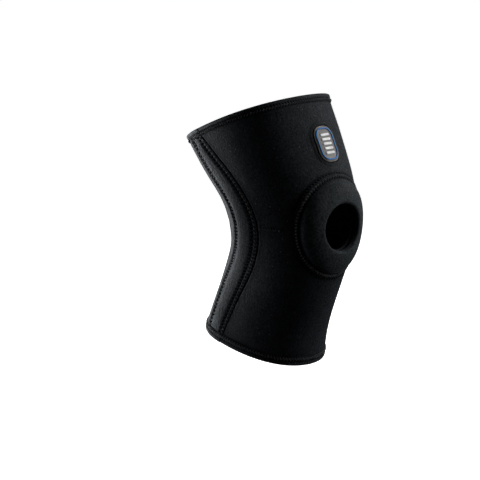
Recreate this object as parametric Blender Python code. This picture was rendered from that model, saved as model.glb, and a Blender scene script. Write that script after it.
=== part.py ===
"""Open-kneecap knee sleeve of 3 mm neoprene, in the shape it takes on a bent leg.

Frame: +Z up, the kneecap faces -Y, the two stay channels lie at -X and +X. The origin is on the
leg's axis at the middle of the bend. Every place on the sleeve is given by a distance along the
leg's axis, an angle round the leg (0 at the front line, positive towards +X) and a lift above
the inner face of the wall.
"""
import math
from collections import namedtuple

import bmesh
import bpy
import numpy as np

MM = 0.001

Girth = namedtuple("Girth", "half_width front back")

# Length of each half along the leg's axis, and how the two halves lean back from the knee
THIGH_LENGTH = 103.5 * MM
CALF_LENGTH = 130.0 * MM
CALF_HEM_RISE = 7.0 * MM
THIGH_LEAN = math.radians(21.8)
CALF_LEAN = math.radians(20.6)
BEND_HALF_LENGTH = 74.5 * MM

# Inner girths: half the width, and the depth in front of and behind the axis
THIGH = Girth(half_width=63.8 * MM, front=55.8 * MM, back=83.0 * MM)
KNEE = Girth(half_width=57.6 * MM, front=66.2 * MM, back=45.0 * MM)
CALF = Girth(half_width=50.5 * MM, front=69.0 * MM, back=48.5 * MM)
SQUARENESS = 0.064

# Wall, pieces' clearance and bindings
WALL = 3.0 * MM
GAP = 0.3 * MM
TAPE = 0.7 * MM
THIGH_TAPE_DEPTH = 8.0 * MM
CALF_TAPE_DEPTH = 9.0 * MM

# Stay channels: girth distance of their seams from the front line at knee height
CHANNEL_FRONT_SEAM = 87.7 * MM
CHANNEL_BACK_SEAM = 116.5 * MM
CHANNEL_BULGE = 1.7 * MM
CHANNEL_FLAT_END = 15.0 * MM
CHANNEL_TAPER = 14.0 * MM

# Padded ring round the kneecap opening
RING_RADIUS = 52.0 * MM
OPENING_RADIUS = 22.5 * MM
RING_DROP = 2.0 * MM
RING_HEIGHT = 8.0 * MM

# Badge on the thigh's front
BADGE_HEIGHT = 36.0 * MM
BADGE_WIDTH = 25.0 * MM
BADGE_CORNER = 10.5 * MM
BADGE_OFFSET = 4.0 * MM
BADGE_THICKNESS = 1.0 * MM
BADGE_MARGIN = 1.8 * MM
BADGE_LINE_WIDTH = 1.3 * MM
BADGE_RELIEF = 0.5 * MM
BAR_COUNT = 5
BAR_LENGTH = 11.0 * MM
BAR_THICKNESS = 2.5 * MM
BAR_PITCH = 4.5 * MM

# Facets of the solids
SIDE_STEPS = 16
FRONT_STEPS = 22
CHANNEL_STEPS = 4
BACK_STEPS = 16
FIELD_LOW_STEP = 5
FIELD_HIGH_STEP = 12
STEPS_PAST_RING = 3
BADGE_DIRECTIONS = 28
BAR_DIRECTIONS = 12
AXIS_STEP = 1.0 * MM
AXIS_MARGIN = 40.0 * MM
WELD = 0.001 * MM
SHARP_ANGLE = math.radians(40.0)

# Half-length share along the axis, the girth that the row follows, and its shares of that girth
SectionRow = namedtuple("SectionRow", "along girth half_width front back")
SECTIONS = (
    SectionRow(-1.0, CALF, 1.0, 1.0, 1.0),
    SectionRow(-0.5, CALF, 0.92, 0.89, 0.98),
    SectionRow(0.0, KNEE, 1.0, 1.0, 1.0),
    SectionRow(0.5, THIGH, 0.985, 1.055, 0.775),
    SectionRow(1.0, THIGH, 1.0, 1.0, 1.0),
)

# Half-length share along the axis, and each seam's girth distance as a share of that at the knee
SeamRow = namedtuple("SeamRow", "along front_seam back_seam")
SEAMS = (
    SeamRow(-1.0, 1.18, 1.11),
    SeamRow(-0.5, 0.995, 1.005),
    SeamRow(0.0, 1.0, 1.0),
    SeamRow(0.5, 1.18, 1.105),
    SeamRow(1.0, 1.40, 1.165),
)

# Ring's cross-section from the opening outwards: share of its width, share of its height
RingRow = namedtuple("RingRow", "across height")
RING_PROFILE = (
    RingRow(0.0, 0.60),
    RingRow(0.04, 0.84),
    RingRow(0.14, 0.97),
    RingRow(0.36, 1.0),
    RingRow(0.60, 0.97),
    RingRow(0.80, 0.80),
    RingRow(0.92, 0.45),
    RingRow(1.0, 0.12),
)

# Binding's section in tape thicknesses: distance along it and drop below its face, at the rounded
# edge of the tape and where the tape rolls over the hem
TapeRow = namedtuple("TapeRow", "down drop")
TAPE_EDGE = (TapeRow(0.0, 0.3), TapeRow(0.5, 0.0))
TAPE_ROLL = (TapeRow(1.1, 0.0), TapeRow(0.3, 0.4), TapeRow(0.0, 1.2))

# Power of the channel's arch across its width: 1 is a parabola, smaller is flatter on top
CHANNEL_ARCH_POWER = 0.5

# Badge's middle, as a share of the front line from the ring's upper edge to the thigh hem
BADGE_UP_SHARE = 0.366

# Badge plates' loops from the middle outwards, as shares of their outline
PLATE_SHARES = (0.34, 0.67, 1.0)

# Colour, roughness and metallic value of each finish
Finish = namedtuple("Finish", "colour roughness metallic")
FINISHES = {
    "neoprene": Finish((0.014, 0.014, 0.016), 0.82, 0.0),
    "binding": Finish((0.010, 0.010, 0.011), 0.70, 0.0),
    "badge_rubber": Finish((0.055, 0.038, 0.028), 0.55, 0.0),
    "badge_blue": Finish((0.02, 0.20, 0.55), 0.45, 0.0),
    "badge_white": Finish((0.85, 0.85, 0.87), 0.45, 0.0),
}

LEFT = -1.0
RIGHT = 1.0


def clear_scene():
    """Remove whatever objects the file starts with."""
    for item in list(bpy.data.objects):
        bpy.data.objects.remove(item, do_unlink=True)


def natural_spline(knots, values, at):
    """Smooth curve through the rows of a table: cubic pieces, straight past both ends."""
    knots, values, at = (np.asarray(item, float) for item in (knots, values, at))
    span = np.diff(knots)
    count = len(knots)
    matrix = np.eye(count)
    right_side = np.zeros(count)
    for row in range(1, count - 1):
        matrix[row, row - 1:row + 2] = span[row - 1], 2.0 * (span[row - 1] + span[row]), span[row]
        slopes = np.diff(values[row - 1:row + 2]) / span[row - 1:row + 1]
        right_side[row] = 6.0 * (slopes[1] - slopes[0])
    bend = np.linalg.solve(matrix, right_side)
    held = np.clip(at, knots[0], knots[-1])
    left = np.clip(np.searchsorted(knots, held, side="right") - 1, 0, count - 2)
    step = span[left]
    to_next = knots[left + 1] - held
    done = held - knots[left]
    return ((bend[left] * to_next ** 3 + bend[left + 1] * done ** 3) / (6.0 * step)
            + (values[left] / step - bend[left] * step / 6.0) * to_next
            + (values[left + 1] / step - bend[left + 1] * step / 6.0) * done)


def half_share(along):
    """Distance along the axis as a share of its half's length: -1 at the calf hem, 1 at the thigh's."""
    along = np.asarray(along, float)
    return np.where(along < 0.0, along / CALF_LENGTH, along / THIGH_LENGTH)


def leg_axis():
    """The leg's axis in the YZ plane: stations along it, its lean there, and its y and z."""
    along = np.arange(-CALF_LENGTH - AXIS_MARGIN, THIGH_LENGTH + AXIS_MARGIN + AXIS_STEP, AXIS_STEP)
    bend = np.clip(along / BEND_HALF_LENGTH, -1.0, 1.0)
    ease = bend * (3.0 - bend ** 2) / 2.0
    lean = (THIGH_LEAN - CALF_LEAN) / 2.0 + (THIGH_LEAN + CALF_LEAN) / 2.0 * ease
    places = []
    for slope in (np.sin(lean), np.cos(lean)):
        run = np.concatenate([[0.0], np.cumsum((slope[1:] + slope[:-1]) / 2.0 * AXIS_STEP)])
        places.append(run - np.interp(0.0, along, run))
    return along, lean, places[0], places[1]


AXIS_ALONG, AXIS_LEAN, AXIS_Y, AXIS_Z = leg_axis()


def girth_at(along):
    """Half-width, front depth and back depth of the inner face at a distance along the axis."""
    shares = [row.along for row in SECTIONS]
    where = half_share(along)
    return tuple(
        natural_spline(shares, [getattr(row, size) * getattr(row.girth, size) for row in SECTIONS], where)
        for size in Girth._fields)


def place(along, angle, lift):
    """Point on the sleeve: a squarish ellipse across the axis, with unlike halves front and back."""
    along, angle, lift = np.broadcast_arrays(
        np.asarray(along, float), np.asarray(angle, float), np.asarray(lift, float))
    half_width, front, back = girth_at(along)
    sine, cosine = np.sin(angle), np.cos(angle)
    depth = np.where(cosine > 0.0, front, back) + lift
    across = (half_width + lift) * sine * (1.0 + SQUARENESS * cosine ** 2)
    ahead = depth * cosine * (1.0 + SQUARENESS * sine ** 2)
    lean = np.interp(along, AXIS_ALONG, AXIS_LEAN)
    y = np.interp(along, AXIS_ALONG, AXIS_Y) - ahead * np.cos(lean)
    z = np.interp(along, AXIS_ALONG, AXIS_Z) + ahead * np.sin(lean)
    return np.stack([across, y, z], axis=-1)


def mean_radius(along):
    """Radius that turns a girth distance from the front line into an angle."""
    half_width, front, _back = girth_at(along)
    return (half_width + front) / 2.0 + WALL


def front_line():
    """Length of the outer front line from the axis's lower end, at each axis station."""
    line = place(AXIS_ALONG, 0.0, WALL)
    steps = np.linalg.norm(np.diff(line, axis=0), axis=1)
    return np.concatenate([[0.0], np.cumsum(steps)])


FRONT_LENGTH = front_line()


def front_station(up, centre):
    """Axis distance of a point that lies a given length up the front line from a centre station."""
    start = np.interp(centre, AXIS_ALONG, FRONT_LENGTH)
    return np.interp(start + np.asarray(up, float), FRONT_LENGTH, AXIS_ALONG)


def on_front(up, aside, centre):
    """Axis distance and angle of a point given by lengths up and aside from a centre station."""
    along = front_station(up, centre)
    return along, aside / mean_radius(along)


def hem_station(angle, at_top, down):
    """Axis distance of a hem's rim, or of a line a given length down the sleeve from it."""
    rim = THIGH_LENGTH if at_top else CALF_HEM_RISE * np.cos(angle) - CALF_LENGTH
    return rim - down if at_top else rim + down


def panel_station(share, angle):
    """Axis distance at a share of a panel's height: its raw edges stop short under the bindings."""
    low = hem_station(angle, False, TAPE + GAP)
    high = hem_station(angle, True, TAPE + GAP)
    return low + share * (high - low)


def seam_angle(share, seam, clearance):
    """Angle of a channel's seam at a share of the panel's height, moved round by a clearance."""
    along = -CALF_LENGTH + share * (CALF_LENGTH + THIGH_LENGTH)
    knee = CHANNEL_FRONT_SEAM if seam == "front_seam" else CHANNEL_BACK_SEAM
    shares = natural_spline([row.along for row in SEAMS], [getattr(row, seam) for row in SEAMS],
                            half_share(along))
    return (shares * knee + clearance) / mean_radius(along)


def finish_material(name, finish):
    """Principled material of one piece."""
    values = FINISHES[finish]
    material = bpy.data.materials.new(name)
    material.use_nodes = True
    shader = material.node_tree.nodes["Principled BSDF"]
    shader.inputs["Base Color"].default_value = (*values.colour, 1.0)
    shader.inputs["Roughness"].default_value = values.roughness
    shader.inputs["Metallic"].default_value = values.metallic
    return material


def make_piece(name, finish, points, faces):
    """One closed piece from its points and faces, turned outwards and shaded smooth.

    Each slanted face is cut along its shorter diagonal, which keeps neighbours' facets apart.
    """
    mesh = bpy.data.meshes.new(name)
    mesh.from_pydata([tuple(point) for point in points], [], faces)
    body = bmesh.new()
    body.from_mesh(mesh)
    bmesh.ops.triangulate(body, faces=body.faces, quad_method="SHORT_EDGE")
    bmesh.ops.recalc_face_normals(body, faces=body.faces)
    body.to_mesh(mesh)
    body.free()
    mesh.shade_smooth()
    mesh.set_sharp_from_angle(angle=SHARP_ANGLE)
    mesh.materials.append(finish_material(name, finish))
    piece = bpy.data.objects.new(name, mesh)
    bpy.context.collection.objects.link(piece)
    return piece


def bridge(first, second, count):
    """Faces between two closed loops of the same count, given by their first point's number."""
    return [(first + k, first + (k + 1) % count, second + (k + 1) % count, second + k)
            for k in range(count)]


def band(name, finish, loops):
    """Ring-shaped piece: closed loops bridged in turn, the last one back to the first."""
    count = len(loops[0])
    faces = []
    for number in range(len(loops)):
        faces += bridge(number * count, (number + 1) % len(loops) * count, count)
    return make_piece(name, finish, np.concatenate(loops), faces)


def plate(name, finish, loops, low_centre, high_centre):
    """Disc-shaped piece: loops from the under side's middle out and back over the upper side."""
    count = len(loops[0])
    faces = []
    for number in range(len(loops) - 1):
        faces += bridge(number * count, (number + 1) * count, count)
    low = len(loops) * count
    last = (len(loops) - 1) * count
    faces += [(low, (k + 1) % count, k) for k in range(count)]
    faces += [(low + 1, last + k, last + (k + 1) % count) for k in range(count)]
    return make_piece(name, finish, np.concatenate([*loops, [low_centre], [high_centre]]), faces)


def flat_pattern(grids):
    """Flat cut of a panel: grids of (distance, angle, bulge) points, welded where they meet.

    A grid is given with True if its last column joins its first.
    """
    pattern = bmesh.new()
    for points, closed in grids:
        rows, columns = points.shape[:2]
        corners = [[pattern.verts.new(point) for point in row] for row in points]
        for row in range(rows - 1):
            for column in range(columns if closed else columns - 1):
                beside = (column + 1) % columns
                pattern.faces.new((corners[row][column], corners[row][beside],
                                   corners[row + 1][beside], corners[row + 1][column]))
    bmesh.ops.remove_doubles(pattern, verts=pattern.verts, dist=WELD)
    pattern.verts.index_update()
    points = np.array([tuple(corner.co) for corner in pattern.verts])
    faces = [tuple(corner.index for corner in face.verts) for face in pattern.faces]
    rims = [tuple(corner.index for corner in edge.verts) for edge in pattern.edges if edge.is_boundary]
    pattern.free()
    return points, faces, rims


def wall(name, finish, grids):
    """Wall on the leg from its flat pattern: outer face, inner face and the cut edges between."""
    points, faces, rims = flat_pattern(grids)
    along, angle, bulge = points.T
    inside = len(points)
    under = [tuple(inside + number for number in reversed(face)) for face in faces]
    cuts = [(here, there, inside + there, inside + here) for here, there in rims]
    both = np.concatenate([place(along, angle, WALL + bulge), place(along, angle, 0.0)])
    return make_piece(name, finish, both, faces + under + cuts)


def panel_grid(share, angle, bulge=0.0):
    """Grid of a flat pattern from shares of the panel's height, angles and bulges."""
    share, angle, bulge = np.broadcast_arrays(share, angle, bulge)
    return np.stack([panel_station(share, angle), angle, bulge], axis=-1)


def side_shares(low_step=0, high_step=SIDE_STEPS):
    """Shares of the panel's height at which every upright edge has its points."""
    return np.arange(low_step, high_step + 1) / SIDE_STEPS


def front_rows(low_step, high_step):
    """Plain rows of the front panel from seam to seam."""
    share = side_shares(low_step, high_step)[:, None]
    around = np.linspace(-1.0, 1.0, FRONT_STEPS + 1)[None, :]
    return panel_grid(share, around * seam_angle(share, "front_seam", -GAP / 2.0))


def field_outline():
    """Edge of the field round the ring: up the +X side, over the top, down and back."""
    rows = front_rows(FIELD_LOW_STEP, FIELD_HIGH_STEP)
    return np.concatenate([rows[:-1, -1], rows[-1, :0:-1], rows[:0:-1, 0], rows[0, :-1]])


def ring_directions():
    """Direction of each outline point as seen from the ring's centre, on the flat panel."""
    along, angle, _bulge = field_outline().T
    start = np.interp(-RING_DROP, AXIS_ALONG, FRONT_LENGTH)
    up = np.interp(along, AXIS_ALONG, FRONT_LENGTH) - start
    return np.arctan2(angle * mean_radius(along), up)


def ring_loop(radius):
    """Axis distances and angles of a circle round the kneecap, drawn on the flat panel."""
    directions = ring_directions()
    return on_front(radius * np.cos(directions), radius * np.sin(directions), -RING_DROP)


def ring_radii():
    """Radii of the ring's rows, from the opening to the ring's outer edge."""
    return [OPENING_RADIUS + row.across * (RING_RADIUS - OPENING_RADIUS) for row in RING_PROFILE]


def seat_radii():
    """Radii at which the panel and the ring's under side share their points."""
    return ring_radii()[:-1:2] + [RING_RADIUS]


def front_panel():
    """Front panel: a field of loops from the round opening outwards, plain rows above and below."""
    loops = [np.stack([*ring_loop(radius), np.zeros(len(field_outline()))], axis=-1)
             for radius in seat_radii()]
    edge, outline = loops[-1], field_outline()
    for step in range(1, STEPS_PAST_RING + 1):
        loops.append(edge + step / STEPS_PAST_RING * (outline - edge))
    wall("front_panel", "neoprene", [
        (np.stack(loops), True),
        (front_rows(0, FIELD_LOW_STEP), False),
        (front_rows(FIELD_HIGH_STEP, SIDE_STEPS), False)])


def kneecap_ring():
    """Padded ring: its under side follows the panel, its top follows the ring's cross-section."""
    seat = WALL + GAP
    under = [place(*ring_loop(radius), seat) for radius in seat_radii()]
    upper = [place(*ring_loop(radius), seat + row.height * RING_HEIGHT)
             for radius, row in zip(reversed(ring_radii()), reversed(RING_PROFILE))]
    band("kneecap_ring", "neoprene", under + upper)


def back_panel():
    """Back panel between the two channels' back seams, round the back of the leg."""
    share = side_shares()[:, None]
    around = np.linspace(-1.0, 1.0, BACK_STEPS + 1)[None, :]
    angle = math.pi + around * (math.pi - seam_angle(share, "back_seam", GAP / 2.0))
    wall("back_panel", "neoprene", [(panel_grid(share, angle), False)])


def stay_channel(name, side):
    """Stay channel between front and back panel, arched outwards except under the bindings."""
    share = side_shares()[:, None]
    across = np.linspace(0.0, 1.0, CHANNEL_STEPS + 1)[None, :]
    front = seam_angle(share, "front_seam", GAP / 2.0)
    back = seam_angle(share, "back_seam", -GAP / 2.0)
    arch = (4.0 * across * (1.0 - across)) ** CHANNEL_ARCH_POWER
    from_hem = np.minimum(share, 1.0 - share) * (CALF_LENGTH + THIGH_LENGTH)
    fade = np.clip((from_hem - CHANNEL_FLAT_END) / CHANNEL_TAPER, 0.0, 1.0)
    grid = panel_grid(share, side * (front + across * (back - front)), CHANNEL_BULGE * arch * fade)
    wall(name, "neoprene", [(grid, False)])


def round_stations(share):
    """Angles round the leg of the panels' own upright edges and facets, at one hem."""
    front = seam_angle(share, "front_seam", 0.0)
    back = seam_angle(share, "back_seam", 0.0)
    return np.concatenate([
        np.linspace(-front, front, FRONT_STEPS + 1)[:-1],
        np.linspace(front, back, CHANNEL_STEPS + 1)[:-1],
        np.linspace(back, 2.0 * math.pi - back, BACK_STEPS + 1)[:-1],
        np.linspace(-back, -front, CHANNEL_STEPS + 1)[:-1]])


def binding(name, at_top, depth):
    """Folded tape over a hem: down the outer face, over the raw edge and down the inner face."""
    outer = WALL + GAP + TAPE
    inner = -GAP - TAPE
    profile = [(depth, outer - TAPE)]
    profile += [(depth - row.down * TAPE, outer - row.drop * TAPE) for row in TAPE_EDGE]
    profile += [(row.down * TAPE, outer - row.drop * TAPE) for row in TAPE_ROLL]
    profile += [(row.down * TAPE, inner + row.drop * TAPE) for row in reversed(TAPE_ROLL)]
    profile += [(depth, inner), (depth, inner + TAPE), (TAPE, inner + TAPE), (TAPE, outer - TAPE)]
    loops = []
    for down, lift in profile:
        share = down / (CALF_LENGTH + THIGH_LENGTH)
        angle = round_stations(1.0 - share if at_top else share)
        loops.append(place(hem_station(angle, at_top, down), angle, lift))
    return band(name, "binding", loops)


def rounded_outline(half_width, half_height, corner, count):
    """Rounded rectangle as lengths aside and up: arcs at the corners, straight sides between."""
    corner = min(corner, half_width, half_height)
    straight_up = half_height - corner
    straight_aside = half_width - corner
    arc = corner * math.pi / 2.0
    quarter = straight_up + straight_aside + arc
    walked = np.arange(count) / count * 4.0 * quarter
    turn = np.floor(walked / quarter)
    left = walked - turn * quarter
    left = np.where(turn % 2 == 1, quarter - left, left)
    bow = np.clip((left - straight_up) / arc, 0.0, 1.0) * math.pi / 2.0
    up = np.clip(left, 0.0, straight_up) + corner * np.sin(bow)
    aside = straight_aside - np.clip(left - straight_up - arc, 0.0, straight_aside)
    aside = aside + corner * np.cos(bow)
    sign_up = np.where(turn < 2, 1.0, -1.0)
    sign_aside = np.where((turn == 0) | (turn == 3), 1.0, -1.0)
    return aside * sign_aside, up * sign_up


def badge_station():
    """Axis distance of the badge's middle, between the ring's upper edge and the thigh hem."""
    ends = [front_station(RING_RADIUS, -RING_DROP), THIGH_LENGTH]
    low, high = np.interp(ends, AXIS_ALONG, FRONT_LENGTH)
    return np.interp(low + BADGE_UP_SHARE * (high - low), FRONT_LENGTH, AXIS_ALONG)


def badge_place(aside, up, lift):
    """Point of the badge, by lengths aside and up from its middle on the thigh's front."""
    return place(*on_front(up, aside + BADGE_OFFSET, badge_station()), lift)


def badge_plate(name, finish, outline, centre_up, low, high):
    """Flat moulding of the badge that follows the thigh, from its outline and two lifts."""
    aside, up = outline
    loops = [badge_place(aside * share, centre_up + up * share, low) for share in PLATE_SHARES]
    loops += [badge_place(aside * share, centre_up + up * share, high)
              for share in reversed(PLATE_SHARES)]
    return plate(name, finish, loops, badge_place(0.0, centre_up, low), badge_place(0.0, centre_up, high))


def badge():
    """Badge: a moulded base, one raised line round it, and a column of plain raised bars."""
    half_width, half_height = BADGE_WIDTH / 2.0, BADGE_HEIGHT / 2.0
    seat = WALL + GAP
    top = seat + BADGE_THICKNESS
    outline = rounded_outline(half_width, half_height, BADGE_CORNER, BADGE_DIRECTIONS)
    badge_plate("badge_base", "badge_rubber", outline, 0.0, seat, top)

    loops = []
    for inset, lift in ((BADGE_MARGIN, top + GAP), (BADGE_MARGIN, top + GAP + BADGE_RELIEF),
                        (BADGE_MARGIN + BADGE_LINE_WIDTH, top + GAP + BADGE_RELIEF),
                        (BADGE_MARGIN + BADGE_LINE_WIDTH, top + GAP)):
        aside, up = rounded_outline(half_width - inset, half_height - inset, BADGE_CORNER - inset,
                                    BADGE_DIRECTIONS)
        loops.append(badge_place(aside, up, lift))
    band("badge_line", "badge_blue", loops)

    bar = rounded_outline(BAR_LENGTH / 2.0, BAR_THICKNESS / 2.0, BAR_THICKNESS / 2.0, BAR_DIRECTIONS)
    for number in range(BAR_COUNT):
        centre_up = (number - (BAR_COUNT - 1) / 2.0) * BAR_PITCH
        badge_plate(f"badge_bar_{number + 1}", "badge_white", bar, centre_up,
                    top + GAP, top + GAP + BADGE_RELIEF)


def knee_sleeve():
    """Every piece of the sleeve."""
    clear_scene()
    front_panel()
    back_panel()
    stay_channel("stay_channel_left", LEFT)
    stay_channel("stay_channel_right", RIGHT)
    binding("thigh_binding", True, THIGH_TAPE_DEPTH)
    binding("calf_binding", False, CALF_TAPE_DEPTH)
    kneecap_ring()
    badge()


knee_sleeve()
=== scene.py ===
"""Looks of the open-kneecap knee sleeve: jersey-faced neoprene panels, stay channels with their
seams, a padded ring, rolled bindings, threads and a moulded badge.

Every surface is a function of two parameters on a grid. A place on the sleeve is given by a
distance along the leg's axis, an angle round the leg (0 at the front line, positive towards +X)
and a lift above the inner face of the wall, as in the construction.
"""
import math
from collections import namedtuple

import bpy
import numpy as np
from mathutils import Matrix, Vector


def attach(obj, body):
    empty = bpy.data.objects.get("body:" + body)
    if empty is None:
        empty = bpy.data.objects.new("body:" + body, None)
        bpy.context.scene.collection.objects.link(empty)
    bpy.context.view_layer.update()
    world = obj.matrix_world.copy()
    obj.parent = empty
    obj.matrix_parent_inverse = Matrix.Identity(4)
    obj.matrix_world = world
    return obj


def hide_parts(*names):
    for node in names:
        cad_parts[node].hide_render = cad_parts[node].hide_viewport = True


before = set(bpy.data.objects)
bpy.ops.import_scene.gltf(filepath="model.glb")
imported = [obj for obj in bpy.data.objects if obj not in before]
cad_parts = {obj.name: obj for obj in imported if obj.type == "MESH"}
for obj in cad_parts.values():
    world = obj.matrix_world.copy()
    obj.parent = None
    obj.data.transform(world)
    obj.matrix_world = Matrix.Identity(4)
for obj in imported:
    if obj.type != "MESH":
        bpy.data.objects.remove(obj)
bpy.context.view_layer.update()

MM = 0.001

Girth = namedtuple("Girth", "half_width front back")

# The sleeve's form: lengths, leans and inner girths
THIGH_LENGTH = 103.5 * MM
CALF_LENGTH = 130.0 * MM
CALF_HEM_RISE = 7.0 * MM
THIGH_LEAN = math.radians(21.8)
CALF_LEAN = math.radians(20.6)
BEND_HALF_LENGTH = 74.5 * MM
THIGH = Girth(half_width=63.8 * MM, front=55.8 * MM, back=83.0 * MM)
KNEE = Girth(half_width=57.6 * MM, front=66.2 * MM, back=45.0 * MM)
CALF = Girth(half_width=50.5 * MM, front=69.0 * MM, back=48.5 * MM)
SQUARENESS = 0.064
WALL = 3.0 * MM
GAP = 0.3 * MM
TAPE = 0.7 * MM
AXIS_STEP = 1.0 * MM
AXIS_MARGIN = 40.0 * MM
SLEEVE_LENGTH = CALF_LENGTH + THIGH_LENGTH

# Half-length share along the axis, the girth that the row follows, and its shares of that girth
SectionRow = namedtuple("SectionRow", "along girth half_width front back")
SECTIONS = (
    SectionRow(-1.0, CALF, 1.0, 1.0, 1.0),
    SectionRow(-0.5, CALF, 0.92, 0.89, 0.98),
    SectionRow(0.0, KNEE, 1.0, 1.0, 1.0),
    SectionRow(0.5, THIGH, 0.985, 1.055, 0.775),
    SectionRow(1.0, THIGH, 1.0, 1.0, 1.0),
)

# Each channel seam's girth distance from the front line at the knee, and its shares of that
# distance at half-length shares along the axis
CHANNEL_FRONT_SEAM = 87.7 * MM
CHANNEL_BACK_SEAM = 116.5 * MM
SeamRow = namedtuple("SeamRow", "along front_seam back_seam")
SEAMS = (
    SeamRow(-1.0, 1.18, 1.11),
    SeamRow(-0.5, 0.995, 1.005),
    SeamRow(0.0, 1.0, 1.0),
    SeamRow(0.5, 1.18, 1.105),
    SeamRow(1.0, 1.40, 1.165),
)

# Needle holes: the size of a plain one and of a small one
HOLE = 1.15 * MM
SMALL_HOLE = 1.0 * MM

# Stay channel's outer relief: raised front edge, stitched trough, padded arch, back fold
CHANNEL_EDGE_RISE = 0.9 * MM
CHANNEL_EDGE_WIDTH = 0.9 * MM
CHANNEL_EDGE_DEPTH = 1.9 * MM
CHANNEL_TROUGH = 0.5 * MM
CHANNEL_BULGE = 2.1 * MM
CHANNEL_FLAT_END = 8.0 * MM
CHANNEL_FULL_FROM = 22.0 * MM
CHANNEL_HOLE_DEPTH = 1.7 * MM
FRONT_ZIGZAG = (1.7 * MM, 5.2 * MM)
BACK_ZIGZAG = (-1.8 * MM, 1.7 * MM)
CHANNEL_SKIRT = 4.6 * MM
BACK_RISE = 1.1 * MM
BACK_CLEARANCE = 2.6 * MM
PANEL_OVERLAP = 0.35 * MM
SEAM_PITCH = 3.8 * MM

# Padded ring and its seam, and the circle on which its cloth's length is measured
RING_RADIUS = 52.0 * MM
OPENING_RADIUS = 22.5 * MM
RING_DROP = 2.0 * MM
RING_ZIGZAG = (47.2 * MM, 51.6 * MM)
RING_SEAM_RADIUS = 50.0 * MM
RING_STITCHES = 92
RING_HOLE_DEPTH = 1.5 * MM
RING_CLOTH_RADIUS = 40.0 * MM
COLUMNS_PER_STITCH = 4

# Bindings: depths, stitches, rows of holes as shares of the depth, and the dent in the panels
THIGH_TAPE_DEPTH = 8.0 * MM
CALF_TAPE_DEPTH = 9.0 * MM
HEM_PITCH = 3.1 * MM
HEM_HOLE_DEPTH = 0.8 * MM
THIGH_UPPER_ROW = 0.54
CALF_UPPER_ROW = 0.44
LOWER_ROW = 0.93
HEM_COLUMNS = 1080
PRESSED_DEPTH = 1.3 * MM

# Badge on the thigh's front
BADGE_HEIGHT = 36.0 * MM
BADGE_WIDTH = 25.0 * MM
BADGE_CORNER = 10.5 * MM
BADGE_UP_SHARE = 0.366
BADGE_OFFSET = 4.0 * MM
BADGE_THICKNESS = 1.0 * MM
BADGE_MARGIN = 1.8 * MM
BADGE_LINE_WIDTH = 1.3 * MM
BADGE_RELIEF = 0.5 * MM
BAR_COUNT = 5
BAR_LENGTH = 11.0 * MM
BAR_THICKNESS = 2.5 * MM
BAR_PITCH = 4.5 * MM
BADGE_SIZE = (BADGE_WIDTH / 2.0, BADGE_HEIGHT / 2.0, BADGE_CORNER)

LEFT, RIGHT = -1.0, 1.0


def natural_spline(knots, values, at):
    """Smooth curve through the rows of a table: cubic pieces, straight past both ends."""
    knots, values, at = (np.asarray(item, float) for item in (knots, values, at))
    span = np.diff(knots)
    count = len(knots)
    matrix = np.eye(count)
    right_side = np.zeros(count)
    for row in range(1, count - 1):
        matrix[row, row - 1:row + 2] = span[row - 1], 2.0 * (span[row - 1] + span[row]), span[row]
        slopes = np.diff(values[row - 1:row + 2]) / span[row - 1:row + 1]
        right_side[row] = 6.0 * (slopes[1] - slopes[0])
    bend = np.linalg.solve(matrix, right_side)
    held = np.clip(at, knots[0], knots[-1])
    left = np.clip(np.searchsorted(knots, held, side="right") - 1, 0, count - 2)
    step = span[left]
    to_next = knots[left + 1] - held
    done = held - knots[left]
    return ((bend[left] * to_next ** 3 + bend[left + 1] * done ** 3) / (6.0 * step)
            + (values[left] / step - bend[left] * step / 6.0) * to_next
            + (values[left + 1] / step - bend[left + 1] * step / 6.0) * done)


def half_share(along):
    """Distance along the axis over its half's length: -1 at the calf hem, 1 at the thigh's."""
    along = np.asarray(along, float)
    return np.where(along < 0.0, along / CALF_LENGTH, along / THIGH_LENGTH)


def leg_axis():
    """The leg's axis: its lean eases from the calf's to the thigh's, and its place is the sum of
    the lean's sines and cosines."""
    along = np.arange(-CALF_LENGTH - AXIS_MARGIN, THIGH_LENGTH + AXIS_MARGIN + AXIS_STEP, AXIS_STEP)
    bend = np.clip(along / BEND_HALF_LENGTH, -1.0, 1.0)
    eased = bend * (3.0 - bend ** 2) / 2.0
    lean = (THIGH_LEAN - CALF_LEAN) / 2.0 + (THIGH_LEAN + CALF_LEAN) / 2.0 * eased
    places = []
    for slope in (np.sin(lean), np.cos(lean)):
        run = np.concatenate([[0.0], np.cumsum((slope[1:] + slope[:-1]) / 2.0 * AXIS_STEP)])
        places.append(run - np.interp(0.0, along, run))
    return along, lean, places[0], places[1]


AXIS_ALONG, AXIS_LEAN, AXIS_Y, AXIS_Z = leg_axis()


def girth_at(along):
    """Half-width, front depth and back depth of the inner face at a distance along the axis."""
    shares = [row.along for row in SECTIONS]
    where = half_share(along)
    return tuple(
        natural_spline(shares, [getattr(row, size) * getattr(row.girth, size) for row in SECTIONS], where)
        for size in Girth._fields)


def place(along, angle, lift):
    """Point on the sleeve: half-width times sine across, depth times cosine ahead, both widened
    by the squareness towards the diagonals, carried to the leaning axis."""
    along, angle, lift = np.broadcast_arrays(
        np.asarray(along, float), np.asarray(angle, float), np.asarray(lift, float))
    half_width, front, back = girth_at(along)
    sine, cosine = np.sin(angle), np.cos(angle)
    depth = np.where(cosine > 0.0, front, back) + lift
    across = (half_width + lift) * sine * (1.0 + SQUARENESS * cosine ** 2)
    ahead = depth * cosine * (1.0 + SQUARENESS * sine ** 2)
    lean = np.interp(along, AXIS_ALONG, AXIS_LEAN)
    y = np.interp(along, AXIS_ALONG, AXIS_Y) - ahead * np.cos(lean)
    z = np.interp(along, AXIS_ALONG, AXIS_Z) + ahead * np.sin(lean)
    return np.stack([across, y, z], axis=-1)


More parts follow.
